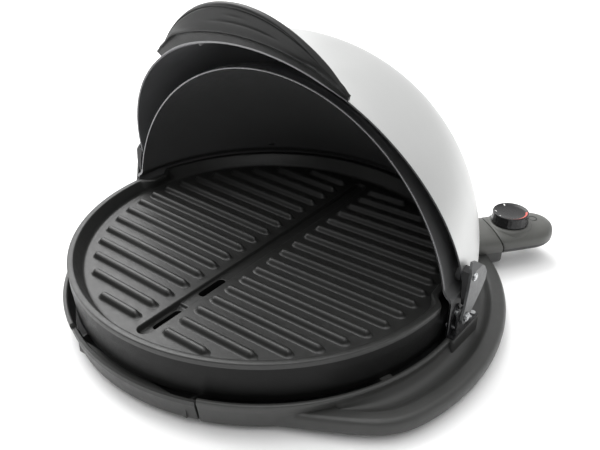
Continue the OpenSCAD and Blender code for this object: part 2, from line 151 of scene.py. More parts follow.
def finish_mat(name, col, rough, metallic=0.0, var=0.06, var_scale=18.0, rvar=0.05, rscale=60.0, grain=0.0, grain_scale=1400.0,
               coat=0.0, coat_rough=0.1, spec=0.5, aniso=0.0, ior=1.5, edge=0.0):
    """One finish: a base colour that varies softly, a roughness that varies, and a fine grain in the surface."""
    m, nt, b = new_mat(name)
    L, N = nt.links, nt.nodes
    tc = N.new("ShaderNodeTexCoord")
    n1 = N.new("ShaderNodeTexNoise")
    n1.inputs["Scale"].default_value = var_scale
    n1.inputs["Detail"].default_value = 5
    n1.inputs["Roughness"].default_value = 0.6
    L.new(tc.outputs["Object"], n1.inputs["Vector"])
    ramp = N.new("ShaderNodeValToRGB")
    lo = [max(0.0, c * (1 - var)) for c in col] + [1]
    hi = [min(1.0, c * (1 + var)) for c in col] + [1]
    ramp.color_ramp.elements[0].position, ramp.color_ramp.elements[1].position = 0.32, 0.68
    ramp.color_ramp.elements[0].color, ramp.color_ramp.elements[1].color = lo, hi
    L.new(n1.outputs["Fac"], ramp.inputs["Fac"])
    L.new(ramp.outputs["Color"], b.inputs["Base Color"])
    n2 = N.new("ShaderNodeTexNoise")
    n2.inputs["Scale"].default_value = rscale
    n2.inputs["Detail"].default_value = 4
    L.new(tc.outputs["Object"], n2.inputs["Vector"])
    mr = N.new("ShaderNodeMapRange")
    mr.inputs["From Min"].default_value, mr.inputs["From Max"].default_value = 0.3, 0.7
    mr.inputs["To Min"].default_value, mr.inputs["To Max"].default_value = max(0.02, rough - rvar), min(1.0, rough + rvar)
    L.new(n2.outputs["Fac"], mr.inputs["Value"])
    L.new(mr.outputs["Result"], b.inputs["Roughness"])
    if grain:
        n3 = N.new("ShaderNodeTexNoise")
        n3.inputs["Scale"].default_value = grain_scale
        n3.inputs["Detail"].default_value = 2
        L.new(tc.outputs["Object"], n3.inputs["Vector"])
        bp = N.new("ShaderNodeBump")
        bp.inputs["Strength"].default_value = grain
        bp.inputs["Distance"].default_value = 0.0002
        L.new(n3.outputs["Fac"], bp.inputs["Height"])
        L.new(bp.outputs["Normal"], b.inputs["Normal"])
    b.inputs["Metallic"].default_value = metallic
    b.inputs["Coat Weight"].default_value = coat
    b.inputs["Coat Roughness"].default_value = coat_rough
    b.inputs["Specular IOR Level"].default_value = spec
    b.inputs["Anisotropic"].default_value = aniso
    b.inputs["IOR"].default_value = ior
    return m


M_PLATE = finish_mat("nonstick", (0.017, 0.0173, 0.0166), 0.42, var=0.10, var_scale=25, rvar=0.05, rscale=220, grain=0.35, grain_scale=2600, spec=0.5)
# darker, less glossy copy of the plate's coating: painted shade on the skirt and underside
M_SKIRT_SHADED = finish_mat("nonstick_skirt_shaded", (0.007, 0.0071, 0.0070), 0.40, var=0.10, var_scale=25, rvar=0.05, rscale=220, grain=0.35, grain_scale=2600, spec=0.14)
# near-black inside of the drain slots and the sheet that closes them: painted shade
M_SLOT_SHADE = finish_mat("slot_shadow", (0.004, 0.004, 0.004), 0.7, var=0.1, grain=0.2, spec=0.1)
M_BASE = finish_mat("base_plastic", (0.036, 0.0365, 0.0352), 0.44, var=0.05, var_scale=30, rvar=0.05, rscale=140, grain=0.30, grain_scale=3000, spec=0.45)
# darker copy of the base plastic for the drip tray: painted shade
M_TRAY_SHADED = finish_mat("tray_plastic_shaded", (0.030, 0.0304, 0.0296), 0.46, var=0.05, var_scale=30, rvar=0.05, rscale=140, grain=0.30, grain_scale=3000, spec=0.4)
M_SHELL = finish_mat("shell_enamel", (0.10, 0.101, 0.102), 0.40, var=0.06, var_scale=12, rvar=0.04, rscale=160, spec=0.4)
# lighter, metallic edge colour: painted highlight along the shell's rolled lip and front ends
M_EDGE = finish_mat("shell_edge_highlight", (0.20, 0.20, 0.205), 0.25, metallic=0.6, var=0.08, var_scale=60, rvar=0.05)
M_LID = finish_mat("lid_silver", (0.60, 0.605, 0.60), 0.42, metallic=0.85, var=0.015, var_scale=8, rvar=0.03, rscale=40)
M_LID_IN = finish_mat("lid_inside", (0.13, 0.132, 0.136), 0.40, var=0.05, var_scale=12, rvar=0.04, rscale=60, spec=0.25)
# lighter metallic colour on the lid's cut edges: painted highlight line
M_LID_EDGE = finish_mat("lid_edge_highlight", (0.10, 0.10, 0.105), 0.4, metallic=0.5, var=0.08, var_scale=60)
M_HANDLE = finish_mat("handle_plastic", (0.010, 0.0104, 0.0102), 0.36, var=0.08, var_scale=30, rvar=0.05, rscale=150, grain=0.25, grain_scale=3000, spec=0.3)
# light metallic grey for the handle's bottom bead: painted highlight line
M_BEAD_HIGHLIGHT = finish_mat("lip_edge_highlight", (0.20, 0.20, 0.205), 0.32, metallic=0.5, var=0.05, var_scale=60)
M_PROBE = finish_mat("probe_plastic", (0.088, 0.089, 0.083), 0.40, var=0.06, var_scale=40, rvar=0.05, rscale=180, grain=0.25, grain_scale=3200, spec=0.4)
M_PROBE_LO = finish_mat("probe_dark", (0.030, 0.0305, 0.031), 0.44, var=0.06, var_scale=40, rvar=0.05, rscale=180, grain=0.25, grain_scale=3200, spec=0.4)
M_KNOB = finish_mat("knob_gloss", (0.014, 0.014, 0.0145), 0.26, var=0.08, var_scale=60, rvar=0.03, rscale=200, spec=0.35)
M_RED = finish_mat("dial_red", (0.62, 0.10, 0.08), 0.35, var=0.05, var_scale=80)
M_WHITE = finish_mat("dial_white", (0.80, 0.80, 0.79), 0.4, var=0.03, var_scale=80)
M_LENS = finish_mat("lens_white", (0.75, 0.75, 0.73), 0.12, var=0.03, var_scale=80, coat=0.6)
M_ARM = finish_mat("arm_grey", (0.085, 0.087, 0.089), 0.36, metallic=0.55, var=0.05, var_scale=60, rvar=0.05, rscale=300, grain=0.12, grain_scale=3000)
M_PIN = finish_mat("pin_bright", (0.50, 0.51, 0.52), 0.32, metallic=1.0, var=0.03, var_scale=80, rvar=0.05)
M_BLACK = finish_mat("bracket_black", (0.012, 0.012, 0.013), 0.30, var=0.1, var_scale=50, rvar=0.06, rscale=250, grain=0.15, grain_scale=2500, spec=0.6)
M_SPACER = finish_mat("spacer_black", (0.010, 0.010, 0.011), 0.5, var=0.1, var_scale=60)
M_SCREW = finish_mat("screw_zinc", (0.55, 0.56, 0.57), 0.28, metallic=1.0, var=0.05, var_scale=120, rvar=0.08)
M_COVER = finish_mat("cover_plastic", (0.030, 0.0305, 0.032), 0.6, var=0.06, var_scale=30, grain=0.4, grain_scale=2200)
M_ALU = finish_mat("reflector_alu", (0.75, 0.76, 0.77), 0.22, metallic=1.0, var=0.04, var_scale=15, rvar=0.08, rscale=60)
M_RUBBER = finish_mat("foot_rubber", (0.018, 0.018, 0.018), 0.75, var=0.1, var_scale=60, grain=0.3, grain_scale=1800, spec=0.3)
M_ELEMENT = finish_mat("element_sheath", (0.22, 0.225, 0.23), 0.5, metallic=0.8, var=0.15, var_scale=40)
M_CERAMIC = finish_mat("insulator_white", (0.78, 0.76, 0.70), 0.55, var=0.04, var_scale=90)
M_GUARD = finish_mat("guard_steel", (0.45, 0.46, 0.47), 0.32, metallic=1.0, var=0.05, var_scale=60, aniso=0.3)
M_NOSE = finish_mat("nose_black", (0.014, 0.014, 0.014), 0.5, var=0.1, var_scale=60, grain=0.3, grain_scale=2500)
M_BRASS = finish_mat("contact_brass", (0.68, 0.50, 0.22), 0.28, metallic=1.0, var=0.06, var_scale=90)
M_ROD = finish_mat("rod_steel", (0.62, 0.63, 0.64), 0.2, metallic=1.0, var=0.04, var_scale=90)

NODE_MAT = {
    "heating_element": M_ELEMENT, "terminal_pins": M_PIN, "terminal_insulators": M_CERAMIC, "socket_guard": M_GUARD,
    "bottom_cover": M_COVER, "heat_reflector": M_ALU, "rubber_feet": M_RUBBER, "base_screws": M_SCREW, "drip_tray": M_TRAY_SHADED,
    "hinge_bracket_right": M_BLACK, "hinge_bracket_left": M_BLACK, "bracket_screws": M_SCREW, "pivot_pin_right": M_PIN,
    "pivot_pin_left": M_PIN, "shell_screws": M_SCREW, "lid_arm_right": M_ARM, "lid_arm_left": M_ARM, "arm_spacers": M_SPACER,
    "arm_rivets": M_PIN, "handle_screws": M_BLACK, "probe_nose": M_NOSE, "contact_sleeves": M_BRASS, "sensor_rod": M_ROD,
    "thermostat": M_BRASS, "probe_screws": M_SCREW, "indicator_lens": M_LENS, "cord_gland": M_RUBBER, "knob_shaft": M_ROD,
    "grill_plate": M_PLATE, "base_housing": M_BASE, "rear_shell": M_SHELL, "lid_dome": M_LID, "lid_handle": M_HANDLE,
    "socket_hood": M_PROBE, "probe_upper_shell": M_PROBE, "probe_lower_shell": M_PROBE_LO, "control_knob": M_KNOB,
}
for name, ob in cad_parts.items():
    ob.data.materials.clear()
    ob.data.materials.append(NODE_MAT[name])
    ob.data.polygons.foreach_set("material_index", [0] * len(ob.data.polygons))
    ob.data.polygons.foreach_set("use_smooth", [True] * len(ob.data.polygons))
    ob.data.set_sharp_from_angle(angle=rad(30))


# ---------------------------------------------------------------- grill plate
FLOOR0 = -13.25


def floor_z(x):
    return FLOOR0 + np.maximum(0, np.abs(x) - 13) * 0.02197


def plate():
    b = Build()
    # ribs: rounded bars with bevelled ends, in rings round a straight middle line
    prof = [(0.3, 4.83), (0.8, 4.76), (1.3, 4.58), (1.8, 4.26), (2.25, 3.78), (2.65, 3.1), (2.95, 2.3), (3.25, 1.45), (3.6, 0.75), (4.1, 0.28), (4.6, 0.05), (5.0, -0.06)]
    for k in range(17):
        y = (k - 8) * 16.75
        xo = math.sqrt(146 ** 2 - y * y)
        for sgn in (1, -1):
            a, c = 12 + 6.6, xo - 6.0
            rings = []
            for d, h in prof:
                # the ends run out further towards the foot than the sides do
                e = d + 2.9 * (d / 5.0) ** 1.2
                g = d + 1.9 * (d / 5.0) ** 1.2
                ring = []
                for i in range(13):
                    t = rad(-90 + i * 15)
                    ring.append((c + g * cos(t), y + d * sin(t)))
                for i in range(13):
                    t = rad(90 + i * 15)
                    ring.append((a + e * cos(t), y + d * sin(t)))
                rings.append([(sgn * px, py, float(floor_z(px)) + h) for px, py in ring])
            b.grid(rings, close_v=True, flip=sgn < 0)
            top = rings[0]
            for i in range(12):
                q = [top[i], top[i + 1], top[25 - i - 1], top[25 - i]]
                b.face(q if sgn > 0 else q[::-1])
    # the floor, from the gutter's rim out to the wall
    hw, ye = 6.6, 140.0
    loop, outer = [], []
    Y1 = sorted(set(np.round(np.linspace(-ye, ye, 61), 4).tolist() + [-102.0, -101.2, -100.6, -100.2, -99.8, -99.3, -98.6]))
    NS, NE = len(Y1) - 1, 24
    for i in range(NS):
        y = Y1[i]
        loop.append((hw, y)); outer.append((math.sqrt(151.0 ** 2 - y * y), y))
    a0 = math.atan2(ye, math.sqrt(151.0 ** 2 - ye * ye))
    for i in range(NE):
        t = math.pi * i / NE
        loop.append((hw * cos(t), ye + hw * sin(t)))
        u = a0 + (math.pi - 2 * a0) * i / NE
        outer.append((151.0 * cos(u), 151.0 * sin(u)))
    for i in range(NS):
        y = Y1[NS - i]
        loop.append((-hw, y)); outer.append((-math.sqrt(151.0 ** 2 - y * y), y))
    for i in range(NE):
        t = math.pi + math.pi * i / NE
        loop.append((hw * cos(t), -ye + hw * sin(t)))
        u = math.pi + a0 + (math.pi - 2 * a0) * i / NE
        outer.append((151.0 * cos(u), 151.0 * sin(u)))
    loop, outer = np.array(loop), np.array(outer)
    rows = []
    for f in np.linspace(0, 1, 15):
        xy = loop * (1 - f) + outer * f
        rows.append([(x, y, float(floor_z(x))) for x, y in xy])
    b.grid(rows, close_v=True)
    # gutter walls

    def depth(y):
        return 3.05 + 2.3 * (1 - smooth(y, -101.0, -99.4))
    gp = [(6.6, 0), (6.2, 0.03), (5.95, 0.09), (5.75, 0.20), (5.6, 0.42), (5.45, 0.70), (5.3, 0.86), (5.05, 0.95), (4.6, 1.0)]
    rows = []
    for d, g in gp:
        s = d / hw
        ring = []
        for (x, y) in loop:
            yy = np.clip(y, -ye, ye)
            px, py = x * s, yy + (y - yy) * s
            ring.append((px, py, FLOOR0 - g * depth(py)))
        rows.append(ring)
    # extra stations where the trough deepens are in the bottom's own lines
    b.grid(rows, close_v=True)
    # the gutter's bottom, with the two slots cut out; below it each slot is walled and closed with near-black painted
    # shade
    slots = [(-132.5, -104.5, 3.7), (-84.0, -56.0, 3.9)]

    def hole(y):
        for y0, y1, w in slots:
            if y0 <= y <= y1:
                if y < y0 + w:
                    return math.sqrt(max(0, w * w - (y0 + w - y) ** 2))
                if y > y1 - w:
                    return math.sqrt(max(0, w * w - (y - y1 + w) ** 2))
                return w
        return 0.0

    def half(y):
        if abs(y) <= ye:
            return 4.6
        return math.sqrt(max(0, 4.6 ** 2 - (abs(y) - ye) ** 2))
    ys = set(Y1)
    for y0, y1, w in slots:
        for i in range(13):
            ys.add(y0 + w - w * cos(rad(i * 7.5)))
            ys.add(y1 - w + w * cos(rad(i * 7.5)))
    for i in range(13):
        ys.add(ye + 4.6 * sin(rad(i * 7.5))); ys.add(-ye - 4.6 * sin(rad(i * 7.5)))
    ys = sorted(ys)
    ys = [y for i, y in enumerate(ys) if i == 0 or y - ys[i - 1] > 1e-4]
    for sgn in (1, -1):
        rows = []
        for y in ys:
            h0, h1 = hole(y), half(y)
            rows.append([(sgn * (h0 + (h1 - h0) * k / 4), y, FLOOR0 - depth(y)) for k in range(5)])
        b.grid(rows, flip=sgn > 0)
    for y0, y1, w in slots:
        lp = []
        for i in range(25):
            t = rad(180 + i * 7.5)
            lp.append((w * cos(t), y0 + w + w * sin(t)))
        for i in range(25):
            t = rad(i * 7.5)
            lp.append((w * cos(t), y1 - w + w * sin(t)))
        rows = []
        for ins, dz in ((0, 0), (0.2, 0.1), (0.35, 0.4), (0.4, 1.0), (0.4, 99)):
            ring = []
            for x, y in lp:
                yc = np.clip(y, y0 + w, y1 - w)
                s = (w - ins) / w
                z = FLOOR0 - depth(yc) - dz if dz < 90 else -23.5
                ring.append((x * s, yc + (y - yc) * s, z))
            rows.append(ring)
        # slot walls below the first millimetre and the closing sheet at -23.5 are painted near-black: painted shade in
        # the holes
        b.grid(rows, close_v=True, mat=lambda i, j: 2 if i > 1 else 0)
        b.fan(rows[-1], (0, (y0 + y1) / 2, -23.5), mat=2)
    # wall, rim and skirt, swept round
    angs = np.linspace(0, 2 * math.pi, 289)[:-1]
    extra = [rad(v) for v in (0.0, 0.2, 10.3, 10.5, 169.5, 169.7, 179.8, 180.0)]
    angs = np.array(sorted(set(np.round(np.concatenate([angs, extra]), 6))))
    wall = curve_pts([(153.2, 0.35, 1), (154.4, 1.5, 1), (155.3, 3.4, 1)], 3)
    prof2 = [(150.2, -0.06, 1), (151.0, 0.0, 1), (152.2, 0.10, 1)] + [tuple(p) for p in wall] + [
        (159.0, -1.9, 0), (159.6, -0.8, 0), (160.1, -0.3, 0), (160.7, 0, 0), (162.2, 0.0, 0), (163.9, 0, 0), (164.5, -0.15, 0), (164.85, -0.5, 0), (165.0, -1.2, 0), (164.9, -4.5, 0), (164.75, -10.8, 0), (164.7, -12.1, 0),
        (164.3, -16, 0), (163.8, -26, 0), (163.5, -33, 0), (163.3, -33.7, 0), (162.8, -34, 0), (161.3, -34, 0), (160.7, -33.6, 0), (160.5, -33, 0),
        (160.5, -22.4, 0), (159.8, -21, 0), (140, -21, 0), (133, -21, 0), (125, -21, 0), (117, -21, 0)]
    rows = []
    for r, z, rel in prof2:
        ring = []
        for a in angs:
            rr = r
            deg = math.degrees(a)
            yy = r * sin(a)
            dip = 8.6 * smooth(yy, -2.5, 12.0) * (1 - smooth(yy, 24.0, 36.0))
            if rel and r > 152.5:
                rr = r - dip * 0.33 * (r - 152.2) / 3.1
            elif not rel and z > -12:
                rr = r - dip * (0.35 + 0.65 * smooth(z, -11, -1.5) if r < 164 else 1.0)
            zz = float(floor_z(rr * cos(a))) + z if rel else z
            ring.append((rr * cos(a), rr * sin(a), zz))
        rows.append(ring)
    nsk = next(i for i, q in enumerate(prof2) if q[1] < -4 and not q[2])

    def over_slot(g):
        def test(i, j):
            q = [g[i][j], g[i + 1][j], g[i][(j + 1) % len(g[i])], g[i + 1][(j + 1) % len(g[i])]]
            x0, x1 = min(p[0] for p in q), max(p[0] for p in q)
            v0, v1 = min(p[1] for p in q), max(p[1] for p in q)
            return min(p[2] for p in q) < -20.5 and x0 < 3.6 and x1 > -3.6 and any(v0 < y1 - 0.3 and v1 > y0 + 0.3 for y0, y1, w in slots)
        return test
    # rows from the skirt down (mat 1) take the painted-shade copy of the coating
    b.grid(rows, close_v=True, mat=lambda i, j: 1 if i >= nsk else 0, skip=over_slot(rows))
    # underside, with the twin walls that hold the element
    cz = [(117, -21), (116.4, -21.2), (116.2, -22), (116.2, -30), (115.9, -30.4), (115, -30.4), (114.6, -30), (114.6, -21), (105.4, -21), (105.4, -30), (105, -30.4),
          (104.2, -30.4), (103.8, -30), (103.8, -22), (103.4, -21), (84.5, -21), (77, -21), (70, -21), (63, -21), (55.5, -21), (40, -21)]
    a2 = np.linspace(0, 2 * math.pi, 241)[:-1]
    under = [[(r * cos(a), r * sin(a), z) for a in a2] for r, z in cz]
    # the underside also takes the painted-shade copy of the coating
    b.grid(under, close_v=True, mat=1, skip=over_slot(under))
    ob = b.make("plate_casting", [M_PLATE, M_SKIRT_SHADED, M_SLOT_SHADE], angle=50, recalc=False)
    # each face keeps the outward side its grid was built with; normals are not recalculated
    return put(ob, "base", ["grill_plate"])


# ---------------------------------------------------------------- base
def blend_r(a, r, d1, a1, d2, a2, p):
    return ((1 / r) ** p + (max(0, cos(rad(a - a1))) / d1) ** p + (max(0, cos(rad(a - a2))) / d2) ** p) ** (-1 / p)


def wing_edge(a):
    """Outline radius of the wings at angle a, in degrees from +X."""
    a = (a + 180) % 360 - 180
    if -90 <= a <= 90:
        return blend_r(a, 201.9, 165, -61.6, 171, 84, 28) if -61.6 <= a <= 84 else 0
    m = 180 - a if a > 0 else -180 - a
    return blend_r(m, 201.9, 165, -61.6, 171, 84, 12) if -61.6 <= m <= 84 else 0


def ring_wall(z):
    return float(np.interp(z, [-53, -36, -31.4], [167.8, 171.6, 172.8]))


def base():
    b = Build()

    def section(a):
        E = wing_edge(a)
        pts = []
        inner = [(168.5, -33.0), (168.8, -31.4), (169.3, -30.4), (170.0, -30.0), (171.2, -30.0), (172.0, -30.25), (172.55, -30.8), (172.75, -31.6), (172.6, -33), (172.0, -35.2)]
        pts += inner
        G = E - 12 - 172.6
        D = 4.75 * min(1, max(0, G) / 21.9) ** 0.8 if G > 0 else 0
        shape = [(0, -37.6, 0), (0.05, -38.8, 0.0), (0.12, 0, 0.38), (0.22, 0, 0.70), (0.34, 0, 0.92), (0.47, 0, 1.0), (0.60, 0, 0.98), (0.72, 0, 0.80), (0.83, 0, 0.50), (0.92, 0, 0.20), (1.0, 0, 0.03), (1.06, 0, 0.0)]
        for f, z0, d in shape:
            z = z0 if z0 else -40 - D * d
            r = 172.6 + max(0, G) * f
            if G <= 0:
                z = -37.6 - 2.4 * f / 1.06
                r = 0
            pts.append((max(r, ring_wall(z)), z))
        for dr, z in ((-7.6, -40.0), (-5.0, -40.0), (-3.6, -40.1), (-2.4, -40.6), (-1.4, -41.6), (-0.6, -43.0), (-0.15, -44.6), (0, -46.0), (-0.3, -49.5), (-0.9, -52.2), (-1.5, -52.8), (-2.3, -53.0)):
            pts.append((max(E + dr, ring_wall(z)), z))
        pts += [(165.5, -53.0), (165.5, -51.2), (165.8, -48), (167.6, -38)]
        return pts

    angs = []
    a = -66.9
    while a < 246.9:
        angs.append(a)
        fine = (-66 < a < -15) or (35 < a < 88) or (92 < a < 215)
        a += 0.75 if fine else 1.25
    angs.append(246.9)
    rows = [[(r * cos(rad(a)), r * sin(rad(a)), z) for r, z in section(a)] for a in angs]
    b.grid(rows, close_v=True)
    b.face(rows[0]); b.face(rows[-1][::-1])
    ob = b.make("base_moulding", [M_BASE], angle=44)
    put(ob, "base", ["base_housing"])

    # pads under the hinge brackets, on top of the ring
    for sgn, nm in ((1, "right"), (-1, "left")):
        pb = Build()
        levels = [(-52.6, 0.0, 166.8), (-34.0, 0.0, 168.5), (-31.0, 0.0, 168.7), (-30.3, 0.3, 168.9), (-30.0, 1.0, 169.2)]
        rows = []
        for z, ins, xi in levels:
            ring = []
            x0, x1, y0, y1, r = xi, 175.7 - ins, 3.6 + ins, 46 - ins, 1.6
            for cx, cy, s0 in ((x1 - r, y1 - r, 0), (x0 + r, y1 - r, 90), (x0 + r, y0 + r, 180), (x1 - r, y0 + r, 270)):
                for i in range(5):
                    t = rad(s0 + i * 22.5)
                    ring.append((sgn * (cx + r * cos(t)), cy + r * sin(t), z))
            rows.append(ring)
        pb.grid(rows, close_v=True)
        pb.face(rows[-1]); pb.face(rows[0][::-1])
        put(pb.make("hinge_pad_" + nm, [M_BASE], angle=40), "base")

    # cradle under the probe's hood
    cb = Build()
    rows = []
    for s, g in ((173.0, 0), (180, 0), (209.0, 0), (212.3, 0.3), (213.3, 1.0), (213.7, 2.4)):
        ring = []
        w, zb, zt, r = 21.6 - g, -52.6 + g * 0.5, -36.5 - g * 0.3, 5.5
        prof = [(-w, zt), (-w - 0.2, -40), (-w, zb + r)]
        for i in range(1, 7):
            t = rad(180 + i * 15)
            prof.append((-w + r + r * cos(t), zb + r + r * sin(t)))
        for i in range(7):
            t = rad(270 + i * 15)
            prof.append((w - r + r * cos(t), zb + r + r * sin(t)))
        prof += [(w + 0.2, -40), (w, zt), (w * 0.5, zt), (-w * 0.5, zt)]
        for t, z in prof:
            ring.append(probe_pt(s, t, z))
        rows.append(ring)
    cb.grid(rows, close_v=True)
    cb.face(rows[-1]); cb.face(rows[0][::-1])
    put(cb.make("socket_cradle", [M_BASE], angle=40), "base")

    # posts inside, that carry the plate
    for k, a in enumerate((15, 165, 200, 340, 75, 112)):
        q = Build()
        for r0, r1, z1 in ((157.2, 166.5, -34.1), (146, 158, -37.1)):
            rr = []
            for z, ins in ((-51.1, 0), (z1 - 0.8, 0), (z1, 0.8)):
                ring = []
                for u, v in ((r0 + ins, -5 + ins), (r1 - ins, -5 + ins), (r1 - ins, 5 - ins), (r0 + ins, 5 - ins)):
                    ring.append((u * cos(rad(a)) - v * sin(rad(a)), u * sin(rad(a)) + v * cos(rad(a)), z))
                rr.append(ring)
            q.grid(rr, close_v=True)
            q.face(rr[-1]); q.face(rr[0][::-1])
        put(q.make("plate_post_%d" % (k + 1), [M_BASE], angle=30), "base")


PA = rad(52.5)


def probe_pt(s, t, z):
    return (s * cos(PA) - t * sin(PA), s * sin(PA) + t * cos(PA), z)


# ---------------------------------------------------------------- rear shell
def shell():
    b = Build()
    Y0 = 5.5
    ztop = 9.5

    def bead(x, y):
        """Outward bump of the embossed line that follows the front edge."""
        w = np.exp(-((y - Y0 - 8.0) / 1.5) ** 2)
        return 0.75 * w * (1 - smooth(abs(x), 98, 110))

    def surf(R, sgn, nphi, ys):
        rows = []
        for y in ys:
            rho = math.sqrt(max(R * R - y * y, 0))
            h = ztop + 26
            p0 = math.asin(min(1, h / rho)) if rho > h else math.pi / 2
            row = []
            for i in range(nphi + 1):
                p = p0 + (math.pi - 2 * p0) * i / nphi
                x, z = rho * cos(p), rho * sin(p) - 26
                n = np.array([x, y, z + 26]) / R
                q = np.array([x, y, z]) + n * bead(x, y)
                row.append(tuple(q))
            rows.append(row)
        return rows
    yend_o = math.sqrt(167 ** 2 - 35.5 ** 2)
    near = [Y0, Y0 + 0.6, Y0 + 1.6, Y0 + 3, Y0 + 4.4, Y0 + 5.4, Y0 + 6.2, Y0 + 6.9, Y0 + 7.5, Y0 + 8, Y0 + 8.5, Y0 + 9.1, Y0 + 9.8, Y0 + 10.6, Y0 + 11.8, Y0 + 13.6, Y0 + 16]

    def ylist(ye):
        t0 = math.asin((Y0 + 16) / ye)
        return near + [ye * sin(t0 + (math.pi / 2 - t0) * i / 34) for i in range(1, 35)]
    ro = surf(167, 1, 96, ylist(yend_o))
    yend_i = math.sqrt(165 ** 2 - 35.5 ** 2)
    ri = surf(165, 1, 96, ylist(yend_i))
    b.grid(ro)
    b.grid(ri, flip=True)
    # front edge: rolled lip, in the lighter edge colour that paints a highlight line
    lip = []
    for i in range(9):
        t = math.pi * i / 8
        row = []
        for o, n_ in zip(ro[0], ri[0]):
            o, n_ = np.array(o), np.array(n_)
            mid, d = (o + n_) / 2, (o - n_) / 2
            row.append(tuple(mid + d * 1.05 * cos(t) + np.array([0, -0.0, 0]) - np.array([0, 1, 0]) * (-1.2 + 0.0) * 0 + np.array([0, -0.9 * sin(t) + 0.9, 0]) * 1.0))
        lip.append(row)
    b.grid(lip, mat=1)
    # flare at the foot and the skirt, swept round from one side to the other
    rt = math.sqrt(167 ** 2 - (ztop + 26) ** 2)
    po = curve_pts([(rt, ztop), (rt + 1.0, 7.0), (rt + 2.6, 5.0), (166.9, 3.9), (168.6, 3.0), (169.4, 1.2), (169.5, -1.5)], 4).tolist() + [[169.5, -10], [169.5, -20], [169.5, -29.4], [169.3, -29.9], [168.75, -30.0]]
    rb = math.sqrt(165 ** 2 - (ztop + 26) ** 2)
    pi_ = curve_pts([(rb, ztop), (rb + 1.0, 6.4), (rb + 2.8, 4.0), (165.2, 2.6), (166.9, 1.6), (167.8, 0.0), (168.0, -2.5)], 4).tolist() + [[168.0, -10], [168.0, -20], [168.0, -29.4], [168.2, -29.9], [168.75, -30.0]]
    NA = 150
    lo = rad(52.5 - 7.7)
    hi = rad(52.5 + 7.7)

    def sweep(prof):
        rows = []
        for r, z in prof:
            a0 = math.asin(Y0 / r)
            an = np.linspace(a0, math.pi - a0, NA + 1)
            an[np.argmin(abs(an - lo))] = lo
            an[np.argmin(abs(an - hi))] = hi
            rows.append([(r * cos(a), r * sin(a), z) for a in an])
        return rows
    so, si = sweep(po), sweep(pi_)

    def win(rows, prof):
        an = [math.atan2(p[1], p[0]) for p in rows[-1]]

        def f(i, j):
            zc = (prof[i][1] + prof[i + 1][1]) / 2
            ac = (an[j] + an[j + 1]) / 2
            return lo < ac < hi and zc < -15.0
        return f
    # put a station at the window's top
    for prof in (po, pi_):
        k = next(i for i, p in enumerate(prof) if p[1] < -19)
        prof.insert(k, [prof[k][0], -15.0])
    so, si = sweep(po), sweep(pi_)
    b.grid(so, skip=win(so, po))
    b.grid(si, skip=win(si, pi_), flip=True)
    # close the window's edges and the two front ends
    an = [math.atan2(p[1], p[0]) for p in so[-1]]
    ja, jb = int(np.argmin(np.abs(np.array(an) - lo))), int(np.argmin(np.abs(np.array(an) - hi)))
    ka = next(i for i, p in enumerate(po) if abs(p[1] + 15) < 1e-6)
    kb = next(i for i, p in enumerate(pi_) if abs(p[1] + 15) < 1e-6)
    for j in (ja, jb):
        b.grid([[so[k][j] for k in range(ka, len(po))], [si[k][j] for k in range(kb, len(pi_))]])
    b.grid([[so[ka][j] for j in range(ja, jb + 1)], [si[kb][j] for j in range(ja, jb + 1)]])
    for j in (0, NA):
        # the front ends also take the painted-highlight edge colour
        b.grid([[so[k][j] for k in range(len(po))], [si[k][j] for k in range(len(pi_))]], mat=1)
    # the dome's foot and the flare meet there as two separate grids; no ring ties them
    ob = b.make("rear_shell_panel", [M_SHELL, M_EDGE], angle=40)
    put(ob, "base", ["rear_shell"])
    # flat ears that stand against the brackets
    for sgn, nm in ((1, "right"), (-1, "left")):
        e = Build()
        out = []
        for (y, z) in ((5.5, -29.6), (5.5, 0.0), (6.1, 2.0), (8.0, 3.0), (24.0, 3.0), (26.6, 2.0), (27.5, 0.0), (27.5, -29.6)):
            out.append((y, z))
        rows = []
        for x, g in ((168.0, 0), (169.2, 0), (169.6, 0.4)):
            rows.append([(sgn * x, y + (g if y < 16 else -g), z - (g if z > -20 else 0)) for y, z in out])
        e.grid(rows, close_v=True)
        e.face(rows[-1]); e.face(rows[0][::-1])
        put(e.make("shell_ear_" + nm, [M_SHELL], angle=35), "base")
    return ob


# ---------------------------------------------------------------- roll-back lid
PIV = np.array([14.5, -12.5])
SW = rad(75.5)
CEN = PIV + np.array([(2.5 - 14.5) * cos(SW) - (-4 + 12.5) * sin(SW), (2.5 - 14.5) * sin(SW) + (-4 + 12.5) * cos(SW)])
EDGE_Z = CEN[1] + 18.8
LID_R = 173.0


def lid_open(p):
    """From the closed lid's place to where it rests, rolled back."""
    p = np.asarray(p, float)
    y, z = p[..., 1] - PIV[0], p[..., 2] - PIV[1]
    out = p.copy()
    out[..., 1] = PIV[0] + y * cos(SW) + z * sin(SW)
    out[..., 2] = PIV[1] - y * sin(SW) + z * cos(SW)
    return out


